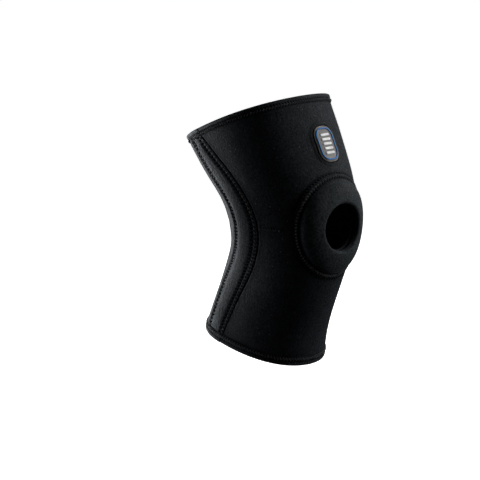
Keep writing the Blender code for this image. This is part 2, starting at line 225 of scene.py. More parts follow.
def unit(vectors):
    """Vectors over their own lengths."""
    return vectors / np.linalg.norm(vectors, axis=-1, keepdims=True)


def outward(along, angle):
    """Unit direction in which a lift moves a point of the wall."""
    return unit(place(along, angle, WALL + MM) - place(along, angle, WALL))


def mean_radius(along):
    """Radius that turns a girth distance from the front line into an angle."""
    half_width, front, _back = girth_at(along)
    return (half_width + front) / 2.0 + WALL


def lengths_along(points):
    """Length walked along a line of points, at each of them."""
    return np.concatenate([[0.0], np.cumsum(np.linalg.norm(np.diff(points, axis=0), axis=1))])


# Length up the outer front line from the axis's lower end, at each axis station
FRONT_LENGTH = lengths_along(place(AXIS_ALONG, 0.0, WALL))


def length_up(along):
    """Length up the outer front line to an axis distance."""
    return np.interp(along, AXIS_ALONG, FRONT_LENGTH)


def on_front(up, aside, centre):
    """Axis distance and angle of a point given by lengths up and aside from a centre station."""
    along = np.interp(length_up(centre) + np.asarray(up, float), FRONT_LENGTH, AXIS_ALONG)
    return along, aside / mean_radius(along)


def hem_station(angle, at_top, down):
    """Axis distance of a hem's rim, or of a line a given length down the sleeve from it."""
    rim = THIGH_LENGTH if at_top else CALF_HEM_RISE * np.cos(angle) - CALF_LENGTH
    return rim - down if at_top else rim + down


def panel_station(share, angle):
    """Axis distance at a share of a panel's height, from raw edge to raw edge."""
    low = hem_station(angle, False, TAPE + GAP)
    high = hem_station(angle, True, TAPE + GAP)
    return low + share * (high - low)


def seam_distance(share, seam):
    """Girth distance of a channel's seam from the front line at a share of the panel's height."""
    along = share * SLEEVE_LENGTH - CALF_LENGTH
    knee = CHANNEL_FRONT_SEAM if seam == "front_seam" else CHANNEL_BACK_SEAM
    return knee * natural_spline([row.along for row in SEAMS], [getattr(row, seam) for row in SEAMS],
                                 half_share(along))


def seam_angle(share, seam, clearance=0.0):
    """Angle of a channel's seam at a share of the panel's height, moved round by a clearance."""
    return (seam_distance(share, seam) + clearance) / mean_radius(share * SLEEVE_LENGTH - CALF_LENGTH)


def channel_width(share):
    """Girth distance between a channel's two seams at a share of the panel's height."""
    return seam_distance(share, "back_seam") - seam_distance(share, "front_seam")


def ease(low, high, at):
    """Smooth step: 0 below low, 1 above high, three squares minus two cubes between."""
    x = np.clip((at - low) / (high - low), 0.0, 1.0)
    return x * x * (3.0 - 2.0 * x)


def bell(at, middle, width):
    """Bell curve: exponential of minus the squared distance over the width."""
    return np.exp(-((at - middle) / width) ** 2)


def holes(across, walked, row, pitch, phase, size, stretch=1.0):
    """Mask of a row of needle holes: a bell round the nearest hole of an evenly spaced row,
    stretched across the row."""
    beside = ((walked / pitch - phase + 0.5) % 1.0 - 0.5) * pitch
    return np.exp(-(((across - row) / stretch) ** 2 + beside ** 2) / size ** 2)


def zigzag_holes(across, walked, rows, pitch, size, stretch=1.0):
    """Mask of a zigzag seam's needle holes: two rows, half a pitch apart."""
    return (holes(across, walked, rows[0], pitch, 0.0, size, stretch)
            + holes(across, walked, rows[1], pitch, 0.5, size, stretch))


def drape(along, angle):
    """Slight unevenness of the worn cloth: three long crossed waves."""
    return 0.16 * MM * (np.sin(along / (11.0 * MM) + 2.0 * angle)
                        + np.sin(along / (17.0 * MM) - 3.1 * angle + 1.3)
                        + np.sin(along / (8.0 * MM) + 1.1 * angle + 4.0) * 0.6)


def under_binding(along, angle):
    """How far the stitches press the panels down under the bindings: a smooth step that ends a
    little past each tape's edge."""
    from_top = hem_station(angle, True, 0.0) - along
    from_low = along - hem_station(angle, False, 0.0)
    pressed = (1.0 - ease(0.8 * THIGH_TAPE_DEPTH, THIGH_TAPE_DEPTH + 1.0 * MM, from_top)
               + 1.0 - ease(0.8 * CALF_TAPE_DEPTH, CALF_TAPE_DEPTH + 1.0 * MM, from_low))
    return PRESSED_DEPTH * pressed


def grid_corners(rows, columns, joined):
    """Rows and columns of each quad's four corners on a grid whose columns join up, and its rows
    too where joined."""
    row = np.arange(rows if joined else rows - 1)[:, None]
    row, column = np.broadcast_arrays(row, np.arange(columns))
    corner_rows = np.stack([row, row, row + 1, row + 1], axis=-1).reshape(-1, 4)
    corner_columns = np.stack([column, column + 1, column + 1, column], axis=-1).reshape(-1, 4)
    return corner_rows, corner_columns


def signed_volume(points, quads):
    """Six times the volume inside quads: sum of the corners' triple products."""
    a, b, c, d = (points[quads[:, k]] for k in range(4))
    return np.einsum("ij,ij->", a, np.cross(b, c)) + np.einsum("ij,ij->", a, np.cross(c, d))


def make_piece(name, points, node=None, uv=None, joined=False, once_round=0.0, masks=None,
               materials=(), second=None):
    """Closed piece from a grid of points whose columns join up, or from many such grids at once.
    Its rows join up too where joined, and otherwise a cap closes each end. uv is one grid's, and
    grows by once_round between the last column and the first. masks hold point values by name.
    second marks the columns of quads that take the second material."""
    rows, columns = points.shape[-3:-1]
    flat = points.reshape(-1, 3)
    corner_rows, corner_columns = grid_corners(rows, columns, joined)
    quads = corner_rows % rows * columns + corner_columns % columns
    uv = np.zeros((rows, columns, 2)) if uv is None else uv
    uv = np.concatenate([uv, uv[:, :1] + np.array([once_round, 0.0])], axis=1)
    uv = np.concatenate([uv, uv[:1]])
    faces, face_uv = [quads], [uv[corner_rows, corner_columns]]
    if not joined:
        first = np.arange(columns)
        caps = np.stack([first + (rows - 1) * columns, first[::-1]])
        faces.append(caps)
        face_uv.append(uv[caps // columns, caps % columns])
    one = flat[:rows * columns]
    if signed_volume(one - one.mean(axis=0), quads) < 0.0:
        faces, face_uv = ([item[:, ::-1] for item in items] for items in (faces, face_uv))
    copies = len(flat) // len(one)
    offsets = np.arange(copies)[:, None, None] * len(one)
    loops = np.concatenate([(offsets + item).ravel() for item in faces])
    loop_uv = np.concatenate([np.tile(item.reshape(-1, 2), (copies, 1)) for item in face_uv])
    sizes = np.concatenate([np.full(copies * len(item), item.shape[1]) for item in faces])

    mesh = bpy.data.meshes.new(name)
    mesh.vertices.add(len(flat))
    mesh.vertices.foreach_set("co", flat.astype(np.float32).ravel())
    mesh.loops.add(len(loops))
    mesh.loops.foreach_set("vertex_index", loops.astype(np.int32))
    mesh.polygons.add(len(sizes))
    mesh.polygons.foreach_set("loop_start", (np.cumsum(sizes) - sizes).astype(np.int32))
    if second is not None:
        chosen = np.zeros(len(sizes), np.int32)
        chosen[:len(quads)] = second[corner_columns[:, 0]]
        mesh.polygons.foreach_set("material_index", chosen)
    mesh.update(calc_edges=True)
    mesh.uv_layers.new(name="Cloth").data.foreach_set("uv", loop_uv.astype(np.float32).ravel())
    for mask, values in (masks or {}).items():
        layer = mesh.attributes.new(mask, "FLOAT", "POINT")
        layer.data.foreach_set("value", values.astype(np.float32).ravel())
    mesh.shade_smooth()
    for material in materials:
        mesh.materials.append(material)
    piece = bpy.data.objects.new(name, mesh)
    bpy.context.collection.objects.link(piece)
    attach(piece, "root")
    if node:
        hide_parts(node)
    return piece


def set_inputs(tree, node, inputs):
    """Set each named input of a node to its value, or link it to its socket."""
    for key, value in inputs.items():
        if isinstance(value, bpy.types.NodeSocket):
            tree.links.new(value, node.inputs[key])
        else:
            node.inputs[key].default_value = value


def add_node(tree, kind, inputs=None, **settings):
    """A node with its settings and inputs."""
    made = tree.nodes.new(kind)
    for key, value in settings.items():
        setattr(made, key, value)
    set_inputs(tree, made, inputs or {})
    return made


def calculate(tree, operation, *values):
    """Result of a Math node on values or sockets."""
    return add_node(tree, "ShaderNodeMath", dict(enumerate(values)), operation=operation).outputs[0]


def new_group(name, inputs, outputs):
    """A shader node group with named sockets: (name, kind, default) rows in, (name, kind) out."""
    group = bpy.data.node_groups.new(name, "ShaderNodeTree")
    for label, kind, default in inputs:
        socket = group.interface.new_socket(label, in_out="INPUT", socket_type="NodeSocket" + kind)
        if default is not None:
            socket.default_value = default
    for label, kind in outputs:
        group.interface.new_socket(label, in_out="OUTPUT", socket_type="NodeSocket" + kind)
    return group, group.nodes.new("NodeGroupInput").outputs, group.nodes.new("NodeGroupOutput")


def knit_group():
    """Jersey knit: a rounded rib for each wale, crossed by loops that dip towards its middle."""
    group, given, result = new_group(
        "Jersey Knit", [("Place", "Vector", None), ("Wale", "Float", 0.0007), ("Course", "Float", 0.0006)],
        [("Height", "Float")])
    split = add_node(group, "ShaderNodeSeparateXYZ", {0: given["Place"]}).outputs
    wale = calculate(group, "DIVIDE", split[0], given["Wale"])
    off_middle = calculate(group, "SUBTRACT", calculate(group, "FRACT", wale), 0.5)
    off_middle = calculate(group, "ABSOLUTE", off_middle)
    rib = calculate(group, "SUBTRACT", 1.0, calculate(group, "MULTIPLY", off_middle, off_middle))
    rib = calculate(group, "MULTIPLY_ADD", rib, 4.0, -3.0)
    course = calculate(group, "DIVIDE", split[1], given["Course"])
    course = calculate(group, "MULTIPLY_ADD", off_middle, 1.6, course)
    loop = calculate(group, "COSINE", calculate(group, "MULTIPLY", course, 2.0 * math.pi))
    loop = calculate(group, "MULTIPLY_ADD", loop, 0.3, 0.7)
    group.links.new(calculate(group, "MULTIPLY", rib, loop), result.inputs["Height"])
    return group


def mottle_group():
    """Uneven pile: noise of a given scale, stretched to the whole range from 0 to 1."""
    group, given, result = new_group(
        "Mottle", [("Place", "Vector", None), ("Scale", "Float", 900.0), ("Detail", "Float", 2.0)],
        [("Mask", "Float")])
    noise = add_node(group, "ShaderNodeTexNoise",
                     {"Vector": given["Place"], "Scale": given["Scale"], "Detail": given["Detail"]})
    spread = add_node(group, "ShaderNodeMapRange", {0: noise.outputs[0], 1: 0.3, 2: 0.7})
    group.links.new(spread.outputs[0], result.inputs["Mask"])
    return group


def lint_group():
    """Lint: a short speck in a few cells of a Voronoi pattern, dragged out of round by noise."""
    group, given, result = new_group(
        "Lint", [("Place", "Vector", None), ("Scale", "Float", 240.0), ("Share", "Float", 0.1),
                 ("Size", "Float", 0.09)], [("Mask", "Float")])
    drag = add_node(group, "ShaderNodeTexNoise", {"Vector": given["Place"], "Scale": 1500.0})
    away = add_node(group, "ShaderNodeVectorMath", {0: drag.outputs["Color"], "Scale": 0.0007},
                    operation="SCALE").outputs[0]
    moved = add_node(group, "ShaderNodeVectorMath", {0: given["Place"], 1: away}).outputs[0]
    cell = add_node(group, "ShaderNodeTexVoronoi", {"Vector": moved, "Scale": given["Scale"]})
    chance = add_node(group, "ShaderNodeSeparateColor", {0: cell.outputs["Color"]}).outputs[0]
    chosen = calculate(group, "LESS_THAN", chance, given["Share"])
    speck = calculate(group, "LESS_THAN", cell.outputs["Distance"], given["Size"])
    group.links.new(calculate(group, "MULTIPLY", chosen, speck), result.inputs["Mask"])
    return group


KNIT, MOTTLE, LINT = knit_group(), mottle_group(), lint_group()


def use_group(tree, group, inputs):
    """The output of a group placed in a material with its own values."""
    return add_node(tree, "ShaderNodeGroup", inputs, node_tree=group).outputs[0]


def blend_colour(tree, share, first, second):
    """Colour between two colours or sockets at a share."""
    first, second = (colour if isinstance(colour, bpy.types.NodeSocket) else (*colour, 1.0)
                     for colour in (first, second))
    return add_node(tree, "ShaderNodeMix", {0: share, 6: first, 7: second}, data_type="RGBA").outputs[2]


# Each cloth: colours of its deep and raised pile, wale and course of its knit, depths of knit and
# grain, share of lint, roughness, sheen and gloss
ClothLook = namedtuple("ClothLook", "deep raised wale course knit_depth grain lint rough sheen gloss")
CLOTHS = {
    "jersey": ClothLook((0.0005, 0.0008, 0.0017), (0.0142, 0.0158, 0.0188), 0.70 * MM, 0.62 * MM,
                        0.10 * MM, 0.40 * MM, 0.40, 0.60, 0.045, 0.06),
    "ring_jersey": ClothLook((0.0018, 0.0026, 0.0030), (0.0262, 0.0300, 0.0322), 0.62 * MM, 0.55 * MM,
                             0.08 * MM, 0.30 * MM, 0.08, 0.60, 0.05, 0.06),
    "lining": ClothLook((0.0070, 0.0070, 0.0080), (0.0200, 0.0200, 0.0225), 0.80 * MM, 0.70 * MM,
                        0.10 * MM, 0.20 * MM, 0.0, 0.75, 0.02, 0.04),
    "tape": ClothLook((0.0018, 0.0019, 0.0023), (0.0090, 0.0094, 0.0110), 1.05 * MM, 0.50 * MM,
                      0.16 * MM, 0.20 * MM, 0.04, 0.55, 0.045, 0.10),
}
LINT_COLOUR = (0.085, 0.092, 0.110)
# Near-black painted shade for needle holes, seam grooves and the ends of threads
HOLLOW_SHADE_COLOUR = (0.0004, 0.0004, 0.0006)
THREAD_DEEP = (0.034, 0.038, 0.043)
THREAD_RAISED = (0.086, 0.094, 0.105)
PLY_SHADE = (0.006, 0.006, 0.007)
PLY_TURN = 9000.0
COOL_TINT = (0.74, 0.89, 1.0, 1.0)
FINE_PILE, BROAD_PILE = 560.0, 110.0
STITCH_LENGTH = 3.0 * MM


def new_material(name):
    """A material, its node tree and its shader."""
    material = bpy.data.materials.new(name)
    material.use_nodes = True
    return material, material.node_tree, material.node_tree.nodes["Principled BSDF"]


def cloth_material(name):
    """Knitted cloth: ribs and loops from the cloth's own UV, mottled pile, lint, and painted shade in its
    hollows.
    """
    look = CLOTHS[name]
    material, tree, shader = new_material(name)
    cloth = add_node(tree, "ShaderNodeUVMap", uv_map="Cloth").outputs[0]
    solid = add_node(tree, "ShaderNodeTexCoord").outputs["Object"]
    hollow = add_node(tree, "ShaderNodeAttribute", attribute_name="HollowShade").outputs["Fac"]
    knit = use_group(tree, KNIT, {"Place": cloth, "Wale": look.wale, "Course": look.course})
    fine = use_group(tree, MOTTLE, {"Place": solid, "Scale": FINE_PILE, "Detail": 4.0})
    broad = use_group(tree, MOTTLE, {"Place": solid, "Scale": BROAD_PILE, "Detail": 2.0})
    lint = use_group(tree, LINT, {"Place": solid, "Share": look.lint})

    pile = calculate(tree, "MULTIPLY_ADD", broad, 0.25, calculate(tree, "MULTIPLY", fine, 0.75))
    colour = blend_colour(tree, pile, look.deep, look.raised)
    colour = blend_colour(tree, lint, colour, LINT_COLOUR)
    # Painted shade: the hollow mask darkens needle holes, grooves and seams towards near-black
    colour = blend_colour(tree, hollow, colour, HOLLOW_SHADE_COLOUR)
    rough = calculate(tree, "MULTIPLY_ADD", fine, -0.14, look.rough + 0.07)
    knitted = add_node(tree, "ShaderNodeBump", {"Height": knit, "Distance": look.knit_depth})
    grained = add_node(tree, "ShaderNodeBump",
                       {"Height": fine, "Distance": look.grain, "Normal": knitted.outputs[0]})
    set_inputs(tree, shader, {
        "Base Color": colour, "Roughness": calculate(tree, "MAXIMUM", rough, hollow),
        "Normal": grained.outputs[0], "Sheen Weight": look.sheen, "Sheen Roughness": 0.45,
        "Sheen Tint": COOL_TINT, "Specular Tint": COOL_TINT, "Specular IOR Level": look.gloss})
    return material


def thread_material():
    """Twisted thread: fine diagonal plies along its UV, with painted shade at its ends where it dives into
    its holes.
    """
    material, tree, shader = new_material("thread")
    cloth = add_node(tree, "ShaderNodeUVMap", uv_map="Cloth").outputs[0]
    solid = add_node(tree, "ShaderNodeTexCoord").outputs["Object"]
    along, round_it, _depth = add_node(tree, "ShaderNodeSeparateXYZ", {0: cloth}).outputs
    round_it = calculate(tree, "MULTIPLY", round_it, 2.0 * math.pi)
    turn = calculate(tree, "MULTIPLY_ADD", along, PLY_TURN, round_it)
    ply = calculate(tree, "MULTIPLY_ADD", calculate(tree, "SINE", turn), 0.5, 0.5)
    fine = use_group(tree, MOTTLE, {"Place": solid, "Scale": 700.0, "Detail": 1.0})
    colour = blend_colour(tree, fine, THREAD_DEEP, THREAD_RAISED)
    colour = blend_colour(tree, calculate(tree, "MULTIPLY", ply, 0.4), colour, PLY_SHADE)
    # Painted shade: both ends of each stitch darken towards the holes
    off_middle = calculate(tree, "MULTIPLY_ADD", along, 2.0 / STITCH_LENGTH, -1.0)
    near_end = calculate(tree, "POWER", calculate(tree, "ABSOLUTE", off_middle), 1.6)
    bump = add_node(tree, "ShaderNodeBump", {"Height": ply, "Distance": 0.06 * MM})
    set_inputs(tree, shader, {
        "Base Color": blend_colour(tree, near_end, colour, HOLLOW_SHADE_COLOUR), "Normal": bump.outputs[0],
        "Roughness": calculate(tree, "MULTIPLY_ADD", fine, 0.2, 0.38), "Specular IOR Level": 0.25,
        "Sheen Weight": 0.05})
    return material


JERSEY, RING_JERSEY = cloth_material("jersey"), cloth_material("ring_jersey")
LINING, TAPE_CLOTH = cloth_material("lining"), cloth_material("tape")
THREAD = thread_material()


def spaced(*stretches):
    """Stations through stretches given as (start, end, steps), without the shared ends twice."""
    runs = [np.linspace(start, end, steps, endpoint=False) for start, end, steps in stretches]
    return np.concatenate([*runs, [stretches[-1][1]]])


def columns_between(left, right, steps):
    """Even columns from the last column on the left to the first on the right, without both."""
    share = np.linspace(0.0, 1.0, steps)[1:-1]
    return left[:, -1:] + share * (right[:, :1] - left[:, -1:])


def cloth_uv(along, angle):
    """A cloth's UV in metres: round the leg and up it."""
    return np.stack([angle * mean_radius(along), along], axis=-1)


def cloth_wall(name, node, along, angle, lift, hollow, skip, joined=False, under=0.0,
               materials=(JERSEY, LINING)):
    """Cloth wall: the outer face's grid, then the under face's at one lift, back over every
    skip-th column, in the second material where there is one."""
    back = slice(None, None, -skip)
    outer_count = lift.shape[1]
    along, angle = (np.concatenate([grid, grid[:, back]], axis=1) for grid in (along, angle))
    lift = np.concatenate([lift, np.full(lift[:, back].shape, under)], axis=1)
    hollow = np.concatenate([hollow, np.zeros(hollow[:, back].shape)], axis=1)
    inside = (np.arange(lift.shape[1]) >= outer_count) * (len(materials) - 1)
    return make_piece(name, place(along, angle, lift), node, cloth_uv(along, angle), joined,
                      masks={"HollowShade": hollow}, materials=materials, second=inside)


def ring_place(radius, direction, lift):
    """Point of the kneecap's surroundings: a circle drawn on the flat front, laid on the leg."""
    return place(*on_front(radius * np.cos(direction), radius * np.sin(direction), -RING_DROP), lift)


def ring_pucker(radius, direction):
    """Pull of the ring's stitches on the cloth round it: waves that die away from the seam."""
    wave = np.cos(direction * RING_STITCHES) * 0.12 * MM - 0.35 * MM
    return wave * np.exp(-np.clip(radius - RING_RADIUS, 0.0, None) / (2.4 * MM))


def near_ring_hole(direction):
    """1 at the ring's outer needle holes and 0 halfway between them, by a cosine."""
    return 0.5 + 0.5 * np.cos(direction * RING_STITCHES)


def ring_shade(radius, direction):
    """Painted shade on the panel along the ring's edge, deepest at the ring's outer needle holes."""
    by_hole = near_ring_hole(direction)
    return (0.25 + 0.75 * by_hole) * bell(radius, RING_RADIUS + 1.2 * MM, (0.7 + 0.5 * by_hole) * MM)


def panel_outline(side_steps, hem_steps):
    """The front panel's edge, once round, as shares of its height and angles."""
    up = np.linspace(0.0, 1.0, side_steps, endpoint=False)
    over = np.linspace(1.0, -1.0, hem_steps, endpoint=False)
    top, low = seam_angle(1.0, "front_seam", PANEL_OVERLAP), seam_angle(0.0, "front_seam", PANEL_OVERLAP)
    share = np.concatenate([up, np.ones(hem_steps), 1.0 - up, np.zeros(hem_steps)])
    angle = np.concatenate([seam_angle(up, "front_seam", PANEL_OVERLAP), top * over,
                            -seam_angle(1.0 - up, "front_seam", PANEL_OVERLAP), -low * over])
    return panel_station(share, angle), angle


def front_panel():
    """Front panel: rays from the round opening to the panel's edge, out over the outer face and
    back over the inner face; the outer face dips at the side seams and puckers round the ring."""
    edge_along, edge_angle = panel_outline(300, 120)
    start = length_up(-RING_DROP)
    direction = np.arctan2(edge_angle * mean_radius(edge_along), length_up(edge_along) - start)
    circles = spaced((OPENING_RADIUS, RING_RADIUS - 2.0 * MM, 8))
    along, angle = on_front(circles * np.cos(direction)[:, None], circles * np.sin(direction)[:, None],
                            -RING_DROP)
    reach = np.hypot(edge_along - along[:, -1], (edge_angle - angle[:, -1]) * mean_radius(edge_along))
    near = spaced((0.0, 6.0 * MM, 10), (6.0 * MM, 10.0 * MM, 3))[1:]
    last = spaced((9.0 * MM, 3.0 * MM, 4), (3.0 * MM, 0.9 * MM, 4), (0.9 * MM, 0.0, 4))
    share_near = near / reach[:, None]
    share_last = 1.0 - last / reach[:, None]
    share = np.concatenate([share_near, columns_between(share_near, share_last, 34), share_last], axis=1)
    along, angle = (np.concatenate([grid, grid[:, -1:] + share * (edge[:, None] - grid[:, -1:])], axis=1)
                    for grid, edge in ((along, edge_along), (angle, edge_angle)))

    height = (along - panel_station(0.0, angle)) / (panel_station(1.0, angle) - panel_station(0.0, angle))
    aside = angle * mean_radius(along)
    to_seam = seam_distance(height, "front_seam") - np.abs(aside)
    up = length_up(along) - start
    radius, away = np.hypot(up, aside), np.arctan2(aside, up)
    lift = (WALL - 1.5 * MM * bell(to_seam, 0.0, 0.55 * MM) + 0.25 * MM * bell(to_seam, 1.6 * MM, 1.2 * MM)
            + ring_pucker(radius, away) + drape(along, angle) * ease(0.0, 12.0 * MM, to_seam)
            - under_binding(along, angle))
    # Painted shade: darkens the seam groove at the channel's edge and a line along the ring's edge
    hollow = 0.85 * bell(to_seam, 0.0, 0.6 * MM) + ring_shade(radius, away)
    return cloth_wall("front_panel_cloth", "front_panel", along, angle, lift, hollow, 6, joined=True)


def back_panel():
    """Back panel: rows from seam to seam behind the leg, with soft creases in the knee's hollow."""
    share = np.linspace(0.0, 1.0, 190)[:, None]
    start = seam_angle(share, "back_seam", BACK_CLEARANCE)
    span = 2.0 * (math.pi - start)
    turn = spaced((0.0, 0.02, 8), (0.02, 0.98, 90), (0.98, 1.0, 8))[None, :]
    angle = start + turn * span
    from_edge = np.minimum(turn, 1.0 - turn) * span * mean_radius(share * SLEEVE_LENGTH - CALF_LENGTH)
    along = panel_station(share, angle)
    lift = WALL + BACK_RISE * (1.0 - ease(1.5 * MM, 15.0 * MM, from_edge))
    lift = lift - 0.9 * MM * (1.0 - ease(0.2 * MM, 2.2 * MM, from_edge))
    lift = lift + drape(along, angle) * ease(1.0 * MM, 12.0 * MM, from_edge)
    behind = bell(angle, math.pi, 0.62)
    for middle, depth, lean in ((-9.0, 0.9, 5.0), (2.0, 1.2, -4.0), (13.0, 0.8, 3.0)):
        line = (middle + lean * (angle - math.pi)) * MM
        lift = lift - depth * MM * behind * bell(along, line, 2.6 * MM)
    lift = lift - under_binding(along, angle)
    return cloth_wall("back_panel_cloth", "back_panel", along, angle, lift, np.zeros(lift.shape), 4)


def channel_lift(share, across, width):
    """Relief of a stay channel above the wall, and the painted shade of its hollows, at a girth
    distance from its front edge: a rounded edge, a stitched trough, an arch that is flat on top,
    and a back fold that falls to the stitched valley beside the back panel."""
    walked = share * SLEEVE_LENGTH
    from_hem = np.minimum(walked, SLEEVE_LENGTH - walked)
    padded = ease(CHANNEL_FLAT_END, CHANNEL_FULL_FROM, from_hem) * 0.7 + 0.3
    edge = CHANNEL_EDGE_RISE * ease(-0.1 * MM, CHANNEL_EDGE_WIDTH, across)
    edge = edge - CHANNEL_EDGE_DEPTH * (1.0 - ease(-0.2 * MM, 0.55 * MM, across))
    trough = ease(0.9 * MM, 1.8 * MM, across) * (1.0 - ease(4.6 * MM, 8.5 * MM, across))
    inside = np.clip((across - 4.2 * MM) / (width - 5.4 * MM), 0.0, 1.0) ** 1.35
    arch = (CHANNEL_BULGE * padded - CHANNEL_EDGE_RISE) * (4.0 * inside * (1.0 - inside)) ** 0.7
    fold = ease(width - 5.0 * MM, width - 0.6 * MM, across)
    lift = (edge + arch * (across < width)) * (1.0 - fold) - CHANNEL_TROUGH * trough
    lift = lift + 0.25 * MM * bell(across, width - 1.7 * MM, 0.8 * MM)
    lift = lift + BACK_RISE * ease(width - 0.5 * MM, width + CHANNEL_SKIRT, across)
    front = zigzag_holes(across, walked, FRONT_ZIGZAG, SEAM_PITCH, HOLE, 1.15)
    back = (holes(across, walked, width + BACK_ZIGZAG[1], SEAM_PITCH, 0.0, 1.2 * MM, 1.7)
            + 0.4 * holes(across, walked, width + BACK_ZIGZAG[0], SEAM_PITCH, 0.55, 0.7 * MM))
    pulled = np.cos(2.0 * math.pi * walked / SEAM_PITCH) * 0.10 * MM
    lift = lift - pulled * (bell(across, width, 2.2 * MM) + 0.7 * bell(across, 3.0 * MM, 2.0 * MM))
    # Painted shade in the needle holes and in the groove at the channel's front edge
    hollow = np.clip(front + back, 0.0, 1.0)
    groove = 0.95 * bell(across, -0.2 * MM, 0.7 * MM)
    return lift - CHANNEL_HOLE_DEPTH * hollow, np.clip(hollow * 1.6 + groove, 0.0, 1.0)


def channel_face(side, share, across):
    """Axis distance, angle, lift and hollow of a channel's outer face at a share of its height
    and a girth distance from its front seam."""
    angle = side * seam_angle(share, "front_seam", across)
    along = panel_station(share, angle)
    relief, hollow = channel_lift(share, across, channel_width(share))
    return along, angle, WALL + relief - under_binding(along, angle), hollow


def channel_point(side, share, across, raised):
    """Point raised above a channel's outer face, with the outward direction there."""
    along, angle, lift, _hollow = channel_face(side, share, across)
    return place(along, angle, lift + raised), outward(along, angle)


def stay_channel(name, node, side):
    """Stay channel: rows up the sleeve, stations across it that crowd at both seams, and a skirt
    that runs under the neighbour's face at the back seam."""
    share = np.linspace(0.0, 1.0, 560)[:, None]
    front = spaced((0.0, 1.2 * MM, 5), (1.2 * MM, 5.4 * MM, 14))[None, :]
    back = spaced((-3.6 * MM, 2.4 * MM, 20), (2.4 * MM, CHANNEL_SKIRT, 3))[None, :] + channel_width(share)
    middle = columns_between(front, back, 18)
    front = np.broadcast_to(front, (len(share), front.shape[1]))
    across = np.concatenate([front, middle, back], axis=1)
    return cloth_wall(name, node, *channel_face(side, share, across), 6)


# A stitch's thread: its rings, its sides, and how deep its ends dive below its holes' rims
THREAD_RINGS, THREAD_SIDES = 7, 6
THREAD_DIVE = 0.7 * MM


def stitches(name, runs, rise, radius):
    """Threads of zigzag seams: each runs from a start point to an end point, bows out by the sine
    of its course, thins and dives at both ends, and has a six-sided section. runs are (starts,
    ends, outward directions, thickness share)."""
    starts, ends, out = (np.concatenate([run[k] for run in runs])[:, None, :] for k in range(3))
    share = np.concatenate([np.full(len(run[0]), run[3]) for run in runs])[:, None, None]
    course = np.linspace(0.0, 1.0, THREAD_RINGS)[:, None]
    bow = np.sin(course * math.pi)
    middle = starts + (ends - starts) * course + out * (rise * share * bow - THREAD_DIVE * (1.0 - bow))
    beside = unit(np.cross(unit(ends - starts), out))
    sides = np.arange(THREAD_SIDES) / THREAD_SIDES
    turn = sides[:, None] * 2.0 * math.pi
    thick = (radius * share * (0.55 + 0.45 * bow))[..., None, :]
    round_it = np.cos(turn) * beside[:, :, None, :] + np.sin(turn) * out[:, :, None, :]
    uv = np.stack(np.broadcast_arrays(course * STITCH_LENGTH, sides), axis=-1)
    return make_piece(name, middle[:, :, None, :] + thick * round_it, uv=uv, materials=(THREAD,))


# Thickness shares of a zigzag's two legs: the one on top and the one drawn into the cloth
BROAD_LEG = 1.0
THIN_LEG = 0.55


def channel_stitches(name, side):
    """Zigzag threads of a channel: broad legs inside its front edge, and slanted legs over the
    back valley from each large hole up to the fold."""
    count = int(SLEEVE_LENGTH / SEAM_PITCH) - 4
    number = np.arange(2, 2 + count)
    runs = []
    for near, far, thickness in ((0.0, 0.5, BROAD_LEG), (0.0, -0.5, THIN_LEG)):
        first, second = ((number + phase) * SEAM_PITCH / SLEEVE_LENGTH for phase in (near, far))
        start, out = channel_point(side, first, np.full(count, FRONT_ZIGZAG[0]), 0.75 * MM)
        end, _out = channel_point(side, second, np.full(count, FRONT_ZIGZAG[1]), 0.75 * MM)
        runs.append((start, end, out, thickness))
    for near, far, thickness in ((0.1, 0.55, BROAD_LEG), (0.0, 0.95, THIN_LEG)):
        first, second = ((number + phase) * SEAM_PITCH / SLEEVE_LENGTH for phase in (near, far))
        start, out = channel_point(side, first, channel_width(first) + BACK_ZIGZAG[1], 0.8 * MM)
        end, _out = channel_point(side, second, channel_width(second) + BACK_ZIGZAG[0], 0.3 * MM)
        runs.append((start, end, out, thickness))
    return stitches(name, runs, 0.45 * MM, 0.42 * MM)


# Ring pad before it is filled: radius and lift above the panel in millimetres, and what holds it
PadRow = namedtuple("PadRow", "radius lift held")
RING_PAD = (
    PadRow(46.0, 0.10, "all"), PadRow(50.0, 0.10, "all"), PadRow(52.5, 0.10, "all"),
    PadRow(53.1, 0.60, "all"), PadRow(53.0, 1.20, "all"), PadRow(52.6, 1.50, "all"),
    PadRow(52.1, 1.55, "all"), PadRow(51.5, 1.60, "all"), PadRow(50.8, 1.65, "all"),
    PadRow(50.1, 1.70, "all"), PadRow(49.4, 1.65, "all"), PadRow(48.8, 1.60, "all"),
    PadRow(48.0, 1.60, "all"), PadRow(47.2, 1.60, "inner"), PadRow(46.5, 1.95, "none"),
    PadRow(45.7, 2.55, "none"), PadRow(44.8, 3.20, "none"), PadRow(43.7, 3.95, "none"),
    PadRow(42.4, 4.70, "none"), PadRow(41.0, 5.35, "none"), PadRow(39.5, 5.90, "none"),
    PadRow(37.7, 6.35, "none"), PadRow(35.6, 6.70, "none"), PadRow(33.4, 6.90, "none"),
    PadRow(31.2, 7.00, "none"), PadRow(29.0, 7.00, "none"), PadRow(27.0, 6.95, "none"),
    PadRow(25.3, 6.85, "none"), PadRow(24.1, 6.60, "none"), PadRow(23.3, 6.10, "none"),
    PadRow(22.85, 5.30, "none"), PadRow(22.65, 4.10, "none"), PadRow(22.6, 2.40, "all"),
    PadRow(22.6, 0.10, "all"), PadRow(30.0, 0.10, "all"), PadRow(38.0, 0.10, "all"),
)
PAD_FRAMES = 20
PAD_SWELL = 0.8 * MM
PAD_CLOTH = {
    "quality": 6, "mass": 0.15, "tension_stiffness": 12.0, "compression_stiffness": 12.0,
    "shear_stiffness": 6.0, "bending_stiffness": 0.05, "use_pressure": True,
    "uniform_pressure_force": 3.0}


